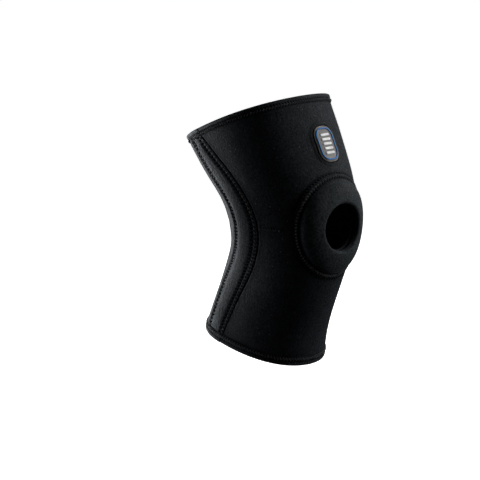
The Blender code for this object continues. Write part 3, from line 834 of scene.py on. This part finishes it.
def fill_pad(piece, held):
    """Fill the pad by cloth simulation: it swells under pressure, held at its seams' stitches."""
    keep = piece.vertex_groups.new(name="held")
    keep.add(np.nonzero(held)[0].tolist(), 1.0, "REPLACE")
    cloth = piece.modifiers.new("fill", "CLOTH")
    for setting, value in PAD_CLOTH.items():
        setattr(cloth.settings, setting, value)
    cloth.settings.vertex_group_mass = "held"
    cloth.settings.effector_weights.gravity = 0.0
    cloth.point_cache.frame_start = 1
    cloth.point_cache.frame_end = PAD_FRAMES
    scene = bpy.context.scene
    for number in range(1, PAD_FRAMES + 1):
        scene.frame_set(number)
    graph = bpy.context.evaluated_depsgraph_get()
    filled = np.empty(len(piece.data.vertices) * 3, np.float32)
    piece.evaluated_get(graph).data.vertices.foreach_get("co", filled)
    piece.modifiers.remove(cloth)
    scene.frame_set(1)
    return filled.reshape(-1, 3)


def kneecap_ring():
    """Padded ring: the pad's section carried round the opening, swollen by simulation and then
    held to a cap, with hollows at the stitches and painted shade in them and along the pad's outer edge."""
    columns = RING_STITCHES * COLUMNS_PER_STITCH
    direction = np.arange(columns) / columns * 2.0 * math.pi
    radius = np.array([row.radius for row in RING_PAD])[:, None] * MM
    lift = np.array([row.lift for row in RING_PAD])[:, None] * MM
    pitch = 2.0 * math.pi * RING_SEAM_RADIUS / RING_STITCHES
    walked = direction * RING_SEAM_RADIUS
    hollow = zigzag_holes(radius, walked, RING_ZIGZAG[::-1], pitch, HOLE, 1.3) * (lift > 0.6 * MM)
    lift = lift - RING_HOLE_DEPTH * hollow
    # Painted shade along the pad's outer edge, deepest at the outer needle holes
    edge_shade = 0.25 + 0.7 * near_ring_hole(direction)
    edge_shade = edge_shade * ease(52.4 * MM, 52.95 * MM, radius) * (lift > 0.3 * MM)
    points = ring_place(radius, direction, WALL + GAP + lift)
    at_inner = np.arange(columns) % COLUMNS_PER_STITCH == COLUMNS_PER_STITCH // 2
    pins = {"all": np.ones(columns, bool), "none": np.zeros(columns, bool), "inner": at_inner}
    held = np.concatenate([pins[row.held] for row in RING_PAD])
    uv = np.stack(np.broadcast_arrays(direction * RING_CLOTH_RADIUS, radius), axis=-1)
    piece = make_piece("kneecap_ring_pad", points, "kneecap_ring", uv, joined=True,
                       once_round=2.0 * math.pi * RING_CLOTH_RADIUS, materials=(RING_JERSEY,),
                       masks={"HollowShade": np.clip(1.6 * hollow + edge_shade, 0.0, 1.0)})
    start = points.reshape(-1, 3)
    moved = fill_pad(piece, held) - start
    length = np.linalg.norm(moved, axis=1, keepdims=True)
    from_seam = np.repeat(RING_ZIGZAG[0] - radius, columns)[:, None]
    cap = PAD_SWELL * (0.15 + 0.85 * ease(0.0, 6.0 * MM, from_seam))
    moved = moved * np.minimum(1.0, cap / np.maximum(length, 1e-9))
    piece.data.vertices.foreach_set("co", (start + moved).astype(np.float32).ravel())
    piece.data.update()
    piece.vertex_groups.clear()
    smooth = piece.modifiers.new("smooth", "SUBSURF")
    smooth.levels = smooth.render_levels = 1
    return piece


def ring_stitches():
    """Zigzag thread of the ring's seam, from each inner hole to the outer holes beside it."""
    step = 2.0 * math.pi / RING_STITCHES
    inner = (np.arange(RING_STITCHES) + 0.5) * step
    middle = sum(RING_ZIGZAG) / 2.0
    out = outward(*on_front(middle * np.cos(inner), middle * np.sin(inner), -RING_DROP))
    start = ring_place(RING_ZIGZAG[0], inner, WALL + GAP + 1.1 * MM)
    runs = []
    for shift, thickness in ((-0.5, BROAD_LEG), (0.5, THIN_LEG)):
        end = ring_place(RING_ZIGZAG[1], inner + shift * step, WALL + GAP + 1.05 * MM)
        runs.append((start, end, out, thickness))
    return stitches("ring_seam_thread", runs, 0.75 * MM, 0.42 * MM)


# Binding's outer section from its lower edge over the rim and down the inner face: length down
# the sleeve as a share of the tape's depth, and lift above the wall's inner face in millimetres
HemRow = namedtuple("HemRow", "down lift")
HEM_SECTION = (
    HemRow(1.0, 2.0), HemRow(1.0, 2.95), HemRow(0.985, 3.2), HemRow(0.95, 3.35), HemRow(0.86, 3.45),
    HemRow(0.76, 3.45), HemRow(0.66, 3.45), HemRow(0.56, 3.4), HemRow(0.47, 3.4), HemRow(0.38, 3.5),
    HemRow(0.27, 3.65), HemRow(0.15, 3.6), HemRow(0.06, 3.4), HemRow(0.01, 3.0), HemRow(-0.02, 2.0),
    HemRow(0.0, 0.8), HemRow(0.06, -0.4), HemRow(0.16, -0.95), HemRow(0.5, -1.05), HemRow(0.97, -1.0),
    HemRow(1.0, -0.8), HemRow(1.0, -0.3), HemRow(0.6, -0.3), HemRow(0.12, -0.3), HemRow(0.12, 1.5),
    HemRow(0.12, 2.0), HemRow(0.6, 2.0),
)


# Depth in millimetres at which the section's run is measured, and the run of its outer face
SECTION_DEPTH = 8.0
OUTER_RUN = 14.0


def hem_section(steps):
    """The binding's section as a closed line through its rows: down, lift and run at each step."""
    rows = np.array(HEM_SECTION + HEM_SECTION[:1])
    run = lengths_along(rows * (SECTION_DEPTH, 1.0))
    at = np.linspace(0.0, run[-1], steps, endpoint=False)
    return np.interp(at, run, rows[:, 0]), np.interp(at, run, rows[:, 1]) * MM, at


def hem_girth(at_top):
    """Angles and lengths walked once round the outer face at a hem, the whole number of stitches
    that it holds, and their pitch."""
    angle = np.linspace(0.0, 2.0 * math.pi, 721)
    walked = lengths_along(place(hem_station(angle, at_top, 4.0 * MM), angle, WALL + TAPE))
    count = round(walked[-1] / HEM_PITCH)
    return angle, walked, count, walked[-1] / count


def over_channels(angle, at_top):
    """How far the binding rides up over the channels, and dips at their front seams."""
    share = 0.98 if at_top else 0.02
    turned = np.abs((angle + math.pi) % (2.0 * math.pi) - math.pi)
    front, back = seam_angle(share, "front_seam"), seam_angle(share, "back_seam")
    rise = ease(front - 0.015, front + 0.02, turned) * (1.0 - ease(back - 0.03, back + 0.02, turned))
    return 0.5 * MM * rise - 0.25 * MM * bell(turned, front - 0.006, 0.012)


def binding(name, node, at_top, depth, upper_row):
    """Binding: the section carried round the hem, with hollows at the stitches darkened by painted shade,
    and small puckers.
    """
    angle, walked, _count, pitch = hem_girth(at_top)
    at = np.arange(HEM_COLUMNS) / HEM_COLUMNS * walked[-1]
    turn = np.interp(at, walked, angle)
    down, lift, section_run = (column[:, None] for column in hem_section(64))
    down, lift = down * depth, lift + 0.0 * at
    outer = (lift > WALL - 0.1 * MM) & (section_run < OUTER_RUN)
    upper = holes(down, at, upper_row * depth, pitch, 0.5, SMALL_HOLE)
    lower = holes(down, at, LOWER_ROW * depth, pitch, 0.0, HOLE)
    # Painted shade in the binding's needle holes
    hollow = np.clip(upper + lower, 0.0, 1.0) * outer
    pulled = 0.10 * MM * np.cos(2.0 * math.pi * at / pitch) * bell(down, 0.75 * depth, 0.35 * depth)
    lift = lift + (pulled - HEM_HOLE_DEPTH * hollow + over_channels(turn, at_top)) * outer
    points = place(hem_station(turn, at_top, down), turn, lift)
    uv = np.stack(np.broadcast_arrays(at, section_run * MM), axis=-1)
    return make_piece(name, points, node, uv, joined=True, once_round=walked[-1],
                      masks={"HollowShade": np.clip(1.6 * hollow, 0.0, 1.0)}, materials=(TAPE_CLOTH,))


def binding_stitches(name, at_top, depth, upper_row):
    """Zigzag thread of a binding, from each upper hole to the lower holes beside it."""
    angle, walked, count, pitch = hem_girth(at_top)
    number = np.arange(count)
    upper = np.interp((number + 0.5) * pitch, walked, angle)
    rise = over_channels(upper, at_top)
    out = outward(hem_station(upper, at_top, 0.7 * depth), upper)
    start = place(hem_station(upper, at_top, upper_row * depth), upper, WALL + 0.30 * MM + rise)
    runs = []
    for shift, thickness in ((0.0, BROAD_LEG), (1.0, THIN_LEG)):
        lower = np.interp((number + shift) * pitch, walked, angle)
        end = place(hem_station(lower, at_top, LOWER_ROW * depth), lower, WALL + 0.25 * MM + rise)
        runs.append((start, end, out, thickness))
    return stitches(name, runs, 0.60 * MM, 0.36 * MM)


def rounded_outline(half_width, half_height, corner, count):
    """Rounded rectangle as lengths aside and up: arcs at the corners, straight sides between."""
    corner = min(corner, half_width, half_height)
    straight_up = half_height - corner
    straight_aside = half_width - corner
    arc = corner * math.pi / 2.0
    quarter = straight_up + straight_aside + arc
    walked = np.arange(count) / count * 4.0 * quarter
    turn = np.floor(walked / quarter)
    left = walked - turn * quarter
    left = np.where(turn % 2 == 1, quarter - left, left)
    bow = np.clip((left - straight_up) / arc, 0.0, 1.0) * math.pi / 2.0
    up = np.clip(left, 0.0, straight_up) + corner * np.sin(bow)
    aside = straight_aside - np.clip(left - straight_up - arc, 0.0, straight_aside)
    aside = aside + corner * np.cos(bow)
    sign_up = np.where(turn < 2, 1.0, -1.0)
    sign_aside = np.where((turn == 0) | (turn == 3), 1.0, -1.0)
    return aside * sign_aside, up * sign_up


def badge_station():
    """Axis distance of the badge's middle, between the ring's upper edge and the thigh hem."""
    ring_top, _angle = on_front(RING_RADIUS, 0.0, -RING_DROP)
    low, high = length_up([ring_top, THIGH_LENGTH])
    return np.interp(low + BADGE_UP_SHARE * (high - low), FRONT_LENGTH, AXIS_ALONG)


def badge_place(aside, up, lift):
    """Point of the badge, by lengths aside and up from its middle on the thigh's front."""
    return place(*on_front(up, aside + BADGE_OFFSET, badge_station()), lift)


def outline_loops(size, insets, count=180):
    """Lengths aside and up of one rounded outline, at each distance in from it: a row each."""
    half_width, half_height, corner = size
    loops = [rounded_outline(half_width - inset, half_height - inset, max(corner - inset, 0.02 * MM), count)
             for inset in insets]
    return (np.stack(part) for part in zip(*loops))


def moulding(name, node, section, level, size, material, centre_up=0.0, count=180, joined=False):
    """Moulded piece: one rounded outline drawn in and lifted by each row of its section, which
    joins up or ends in a cap at both ends. A row is (inset, height above the level)."""
    inset, height = section[:, :1], section[:, 1:]
    aside, up = outline_loops(size, section[:, 0], count)
    points = badge_place(aside, up + centre_up, WALL + level + height)
    return make_piece(name, points, node, joined=joined, materials=(material,),
                      masks={"Inset": np.broadcast_to(inset, up.shape)})


# Moulded rubber's colours
RUBBER_CLOUD = (0.02, 0.017, 0.015)
RUBBER_BROWN = (0.030, 0.020, 0.014)
RUBBER_TAN = (0.120, 0.098, 0.078)
RUBBER_FACE = (0.085, 0.079, 0.072)
RUBBER_BLUE = (0.003, 0.185, 0.56)
RUBBER_WHITE = (0.90, 0.90, 0.91)


def rubber_material(name, bands, rough, gloss):
    """Moulded rubber: colours by distance from the plate's edge, a soft cloudiness, fine pitting.
    bands are (inset in metres, colour) rows."""
    material, tree, shader = new_material(name)
    solid = add_node(tree, "ShaderNodeTexCoord").outputs["Object"]
    cloud = use_group(tree, MOTTLE, {"Place": solid, "Scale": 90.0, "Detail": 2.0})
    pits = use_group(tree, MOTTLE, {"Place": solid, "Scale": 2500.0, "Detail": 1.0})
    inset = add_node(tree, "ShaderNodeAttribute", attribute_name="Inset").outputs["Fac"]
    colour = bands[0][1]
    for start, band in bands[1:]:
        past = add_node(tree, "ShaderNodeMapRange",
                        {0: inset, 1: start - 0.12 * MM, 2: start + 0.12 * MM}).outputs[0]
        colour = blend_colour(tree, past, colour, band)
    bump = add_node(tree, "ShaderNodeBump", {"Height": pits, "Distance": 0.02 * MM, "Strength": 0.6})
    set_inputs(tree, shader, {
        "Base Color": blend_colour(tree, calculate(tree, "MULTIPLY", cloud, 0.35), colour, RUBBER_CLOUD),
        "Roughness": calculate(tree, "MULTIPLY_ADD", pits, 0.12, rough), "Normal": bump.outputs[0],
        "Specular IOR Level": gloss})
    return material


# Sections from the under side in millimetres: distance in from the outline, and height above the
# plate's top, or above a bar's own top
PLATE_SECTION = (
    (0.35, -1.2), (0.0, -1.0), (-0.05, -0.6), (0.05, -0.2), (0.2, 0.05), (0.45, 0.12), (0.65, 0.05),
    (0.85, -0.22), (1.1, -0.28), (2.4, -0.28), (3.1, -0.24), (3.3, -0.05), (3.5, 0.0), (4.5, 0.0),
    (7.0, 0.0), (10.0, 0.0), (12.4, 0.0))
BAR_SECTION = ((0.1, -0.9), (0.0, -0.7), (0.0, -0.25), (0.08, -0.1), (0.25, 0.0), (0.6, 0.03), (1.2, 0.04))

# Cloth round the badge in millimetres: distance out from the plate, and height above the wall
BED_SECTION = (
    (-0.1, -0.9), (0.05, -0.6), (0.3, -0.45), (0.6, -0.15), (0.95, 0.35), (1.35, 0.75), (1.9, 0.85),
    (2.6, 0.65), (3.6, 0.30), (4.8, -0.10), (5.2, -0.6))


def line_section():
    """Section of the badge's raised line: a flat foot and a half-round back, by sine and cosine."""
    turn = np.linspace(0.0, math.pi, 10)
    middle, reach = BADGE_MARGIN + BADGE_LINE_WIDTH / 2.0, BADGE_LINE_WIDTH / 2.0
    inset = np.concatenate([[middle + reach, middle - reach], middle - reach * np.cos(turn)])
    back = 0.1 * MM + (GAP + BADGE_RELIEF - 0.1 * MM) * np.sin(turn) ** 0.6
    return np.stack([inset, np.concatenate([[-0.3 * MM, -0.3 * MM], back])], axis=-1)


def badge():
    """Badge: a plate with a raised rim and a sunk band, one raised line, and plain bars."""
    plate = rubber_material("badge_rubber", [(0.0, RUBBER_TAN), (0.75 * MM, RUBBER_BROWN),
                                             (3.15 * MM, RUBBER_TAN), (3.6 * MM, RUBBER_FACE)], 0.33, 0.5)
    blue = rubber_material("badge_blue", [(0.0, RUBBER_BLUE)], 0.40, 0.25)
    white = rubber_material("badge_white", [(0.0, RUBBER_WHITE)], 0.35, 0.5)
    top = GAP + BADGE_THICKNESS
    moulding("badge_plate", "badge_base", np.array(PLATE_SECTION) * MM, top, BADGE_SIZE, plate)
    moulding("badge_raised_line", "badge_line", line_section(), top, BADGE_SIZE, blue,
             joined=True)
    bar_size = BAR_LENGTH / 2.0, BAR_THICKNESS / 2.0, BAR_THICKNESS / 2.0
    for number in range(BAR_COUNT):
        centre_up = (number - (BAR_COUNT - 1) / 2.0) * BAR_PITCH
        moulding(f"badge_stripe_{number + 1}", f"badge_bar_{number + 1}", np.array(BAR_SECTION) * MM,
                 top + GAP + BADGE_RELIEF, bar_size, white, centre_up, 72)


def badge_bed():
    """Cloth puffed up round the badge: a low lip that falls to a groove at the plate's side,
    darkened by painted shade, and runs out into the panel."""
    outset, height = np.hsplit(np.array(BED_SECTION), 2)
    aside, up = outline_loops(BADGE_SIZE, -outset[:, 0] * MM)
    along, angle = on_front(up, aside + BADGE_OFFSET, badge_station())
    # Painted shadow in the groove round the badge plate
    hollow = np.clip(1.5 - np.maximum(outset, 0.0) / 1.1, 0.0, 1.0)
    return make_piece("badge_bed_cloth", place(along, angle, WALL + height * MM + drape(along, angle)),
                      uv=cloth_uv(along, angle), joined=True, materials=(JERSEY,),
                      masks={"HollowShade": np.broadcast_to(hollow, up.shape)})


# Bar tack ahead of each channel: its middle up the leg, its end by the channel, its two rows of
# holes, its knot, and the patch of cloth round it
TACK_STATION = -2.2 * MM
TACK_START = 85.4 * MM
TACK_STEP = 2.6 * MM
TACK_COUNT = 7
TACK_HALF_WIDTH = 2.1 * MM
TACK_HOLE_DEPTH = 0.9 * MM
KNOT_MIDDLE = 19.6 * MM
KNOT_RADIUS = 1.5 * MM
KNOT_DENT_RADIUS = 2.4 * MM
KNOT_CHORD = 2.2
PATCH_HALF_HEIGHT = 5.5 * MM
PATCH_LENGTH = 25.0 * MM
PATCH_LAP = 0.6 * MM


def tack_place(side, up, aside, lift):
    """Point by the bar tack: lengths up from its middle and aside from the front line."""
    along, angle = on_front(up, side * aside, TACK_STATION)
    return place(along, angle, lift), outward(along, angle)


def bar_tack_cloth(name, side):
    """Cloth round a bar tack: a patch of the panel's face with the tack's needle holes and knot,
    darkened by painted shade, whose border sinks into the panel."""
    up = np.linspace(-PATCH_HALF_HEIGHT, PATCH_HALF_HEIGHT, 40)[:, None]
    aside = np.linspace(TACK_START - PATCH_LENGTH, TACK_START + PATCH_LAP, 96)
    up, aside = np.broadcast_arrays(up, aside)
    walked = TACK_START - aside
    tack_end = TACK_COUNT * TACK_STEP
    tacked = ease(-PATCH_LAP, 0.2 * MM, walked) * (1.0 - ease(tack_end - PATCH_LAP, tack_end, walked))
    rows = TACK_HALF_WIDTH, -TACK_HALF_WIDTH
    # Painted shade in the tack's needle holes and in a ring round the knot's dent
    hollow = tacked * zigzag_holes(up, walked, rows, TACK_STEP, SMALL_HOLE)
    from_knot = np.hypot(up, walked - KNOT_MIDDLE)
    hollow = np.clip(hollow + 0.8 * bell(from_knot, KNOT_DENT_RADIUS, 0.55 * MM), 0.0, 1.0)
    inset = np.minimum(PATCH_HALF_HEIGHT - np.abs(up), walked + PATCH_LAP)
    inset = np.minimum(inset, PATCH_LENGTH - PATCH_LAP - walked)
    lift = WALL + 0.22 * MM - 0.6 * MM * (1.0 - ease(0.0, 1.6 * MM, inset)) - TACK_HOLE_DEPTH * hollow
    along, angle = on_front(up, side * aside, TACK_STATION)
    return cloth_wall(name, None, along, angle, lift + drape(along, angle),
                      np.clip(2.2 * hollow, 0.0, 1.0), 1, under=WALL - 1.6 * MM, materials=(JERSEY,))


def bar_tack_thread(name, side):
    """Thread of a bar tack: slanted runs between its two rows of holes, and a small round knot."""
    aside = TACK_START - np.arange(TACK_COUNT) * TACK_STEP
    start, out = tack_place(side, TACK_HALF_WIDTH, aside, WALL - 0.2 * MM)
    runs = []
    for shift, thickness in ((0.5, BROAD_LEG), (-0.5, THIN_LEG)):
        end, _out = tack_place(side, -TACK_HALF_WIDTH, aside - shift * TACK_STEP, WALL - 0.2 * MM)
        runs.append((start, end, out, thickness))
    turn = np.arange(8) / 8.0 * 2.0 * math.pi
    (start, out), (end, _out) = (
        tack_place(side, KNOT_RADIUS * np.cos(at), TACK_START - KNOT_MIDDLE + KNOT_RADIUS * np.sin(at),
                   WALL + 0.1 * MM) for at in (turn, turn + KNOT_CHORD))
    runs.append((start, end, out, BROAD_LEG))
    return stitches(name, runs, 0.50 * MM, 0.36 * MM)


def make_sleeve():
    """Every piece of the sleeve."""
    front = front_panel()
    back = back_panel()
    left = stay_channel("left_channel_cloth", "stay_channel_left", LEFT)
    right = stay_channel("right_channel_cloth", "stay_channel_right", RIGHT)
    ring = kneecap_ring()
    thigh = binding("thigh_binding_tape", "thigh_binding", True, THIGH_TAPE_DEPTH, THIGH_UPPER_ROW)
    calf = binding("calf_binding_tape", "calf_binding", False, CALF_TAPE_DEPTH, CALF_UPPER_ROW)
    channel_stitches("left_channel_thread", LEFT)
    channel_stitches("right_channel_thread", RIGHT)
    bar_tack_thread("left_bar_tack", LEFT)
    bar_tack_thread("right_bar_tack", RIGHT)
    ring_stitches()
    binding_stitches("thigh_binding_thread", True, THIGH_TAPE_DEPTH, THIGH_UPPER_ROW)
    binding_stitches("calf_binding_thread", False, CALF_TAPE_DEPTH, CALF_UPPER_ROW)
    bar_tack_cloth("left_bar_tack_cloth", LEFT)
    bar_tack_cloth("right_bar_tack_cloth", RIGHT)
    badge_bed()
    badge()


make_sleeve()


# Camera at the photograph's angle: its frame, angles in degrees, distance and pixels per metre
FRAME_PIXELS = 480.0
VIEW_AZIMUTH = -48.0
VIEW_ELEVATION = 10.6
VIEW_DISTANCE = 2.0
PIXELS_PER_METRE = 1030.0
ORIGIN_PIXEL = (286.6, 215.7)
SENSOR = 36.0

# Soft lights: azimuth and elevation in degrees, distance and sides in metres, watts, colour
WHITE = (1.0, 1.0, 1.0)
COOL_WHITE = (0.95, 0.975, 1.0)
LightRow = namedtuple("LightRow", "name azimuth elevation distance size power colour")
LIGHTS = (
    LightRow("right_light", 42.0, 10.0, 1.3, (0.9, 0.6), 11.6, WHITE),
    LightRow("high_light", 60.0, 45.0, 1.3, (0.6, 0.6), 6.2, WHITE),
    LightRow("edge_light", 80.0, 10.0, 1.3, (0.6, 0.6), 3.8, WHITE),
    LightRow("back_light", -175.0, -15.0, 0.6, (0.38, 0.38), 4.3, COOL_WHITE),
    LightRow("left_light", -138.0, -8.0, 0.6, (0.38, 0.38), 1.6, COOL_WHITE),
    LightRow("left_high_light", -112.0, 45.0, 1.3, (0.6, 0.6), 0.45, COOL_WHITE),
    LightRow("behind_light", 140.0, 30.0, 1.3, (0.9, 0.9), 12.0, WHITE),
)
FLOOR_REACH = 40.0
FLOOR_LEVEL = -0.30
FLOOR_PALE = (0.8, 0.8, 0.8)
FLOOR_UNSEEN = (0.015, 0.015, 0.015)


def facing_middle(name, data, azimuth, elevation, distance):
    """Camera or light at an azimuth and elevation in degrees, turned to the sleeve's middle."""
    thing = bpy.data.objects.new(name, data)
    bpy.context.collection.objects.link(thing)
    azimuth, elevation = math.radians(azimuth), math.radians(elevation)
    back = Vector((math.sin(azimuth) * math.cos(elevation), -math.cos(azimuth) * math.cos(elevation),
                   math.sin(elevation)))
    thing.location = back * distance
    thing.rotation_mode = "QUATERNION"
    thing.rotation_quaternion = (-back).to_track_quat("-Z", "Y")
    return thing


def make_camera():
    """Camera that looks at the origin, shifted so that the origin falls on its pixel."""
    data = bpy.data.cameras.new("camera")
    data.sensor_width = SENSOR
    data.lens = PIXELS_PER_METRE * VIEW_DISTANCE / FRAME_PIXELS * SENSOR
    data.shift_x = (FRAME_PIXELS / 2.0 - ORIGIN_PIXEL[0]) / FRAME_PIXELS
    data.shift_y = (ORIGIN_PIXEL[1] - FRAME_PIXELS / 2.0) / FRAME_PIXELS
    data.clip_end = 100.0
    bpy.context.scene.camera = facing_middle("camera", data, VIEW_AZIMUTH, VIEW_ELEVATION, VIEW_DISTANCE)


def soft_light(row):
    """Rectangular soft light, unseen by the camera."""
    data = bpy.data.lights.new(row.name, "AREA")
    data.shape = "RECTANGLE"
    data.size, data.size_y = row.size
    data.energy = row.power
    data.color = row.colour
    lamp = facing_middle(row.name, data, row.azimuth, row.elevation, row.distance)
    lamp.visible_camera = False


def make_floor():
    """Pale floor that runs out to the horizon: bright where seen, dark where it would light."""
    mesh = bpy.data.meshes.new("floor")
    corners = [(x * FLOOR_REACH, y * FLOOR_REACH, FLOOR_LEVEL)
               for x, y in ((-1.0, -1.0), (1.0, -1.0), (1.0, 1.0), (-1.0, 1.0))]
    mesh.from_pydata(corners, [], [(0, 1, 2, 3)])
    floor = bpy.data.objects.new("floor", mesh)
    bpy.context.collection.objects.link(floor)
    pale, tree, shader = new_material("pale_floor")
    seen = add_node(tree, "ShaderNodeLightPath").outputs["Is Camera Ray"]
    set_inputs(tree, shader, {
        "Base Color": blend_colour(tree, seen, FLOOR_UNSEEN, FLOOR_PALE), "Roughness": 0.9,
        "Specular IOR Level": 0.0, "Emission Color": (*WHITE, 1.0), "Emission Strength": seen})
    mesh.materials.append(pale)


def make_studio():
    """Floor, white surroundings and soft lights."""
    make_floor()
    world = bpy.data.worlds.new("white_surroundings")
    bpy.context.scene.world = world
    world.use_nodes = True
    tree = world.node_tree
    seen = add_node(tree, "ShaderNodeLightPath").outputs["Is Camera Ray"]
    set_inputs(tree, tree.nodes["Background"], {
        "Color": (*WHITE, 1.0), "Strength": calculate(tree, "MULTIPLY_ADD", seen, 0.999, 0.001)})
    for row in LIGHTS:
        soft_light(row)
    bpy.context.scene.view_settings.view_transform = "Standard"


make_camera()
make_studio()
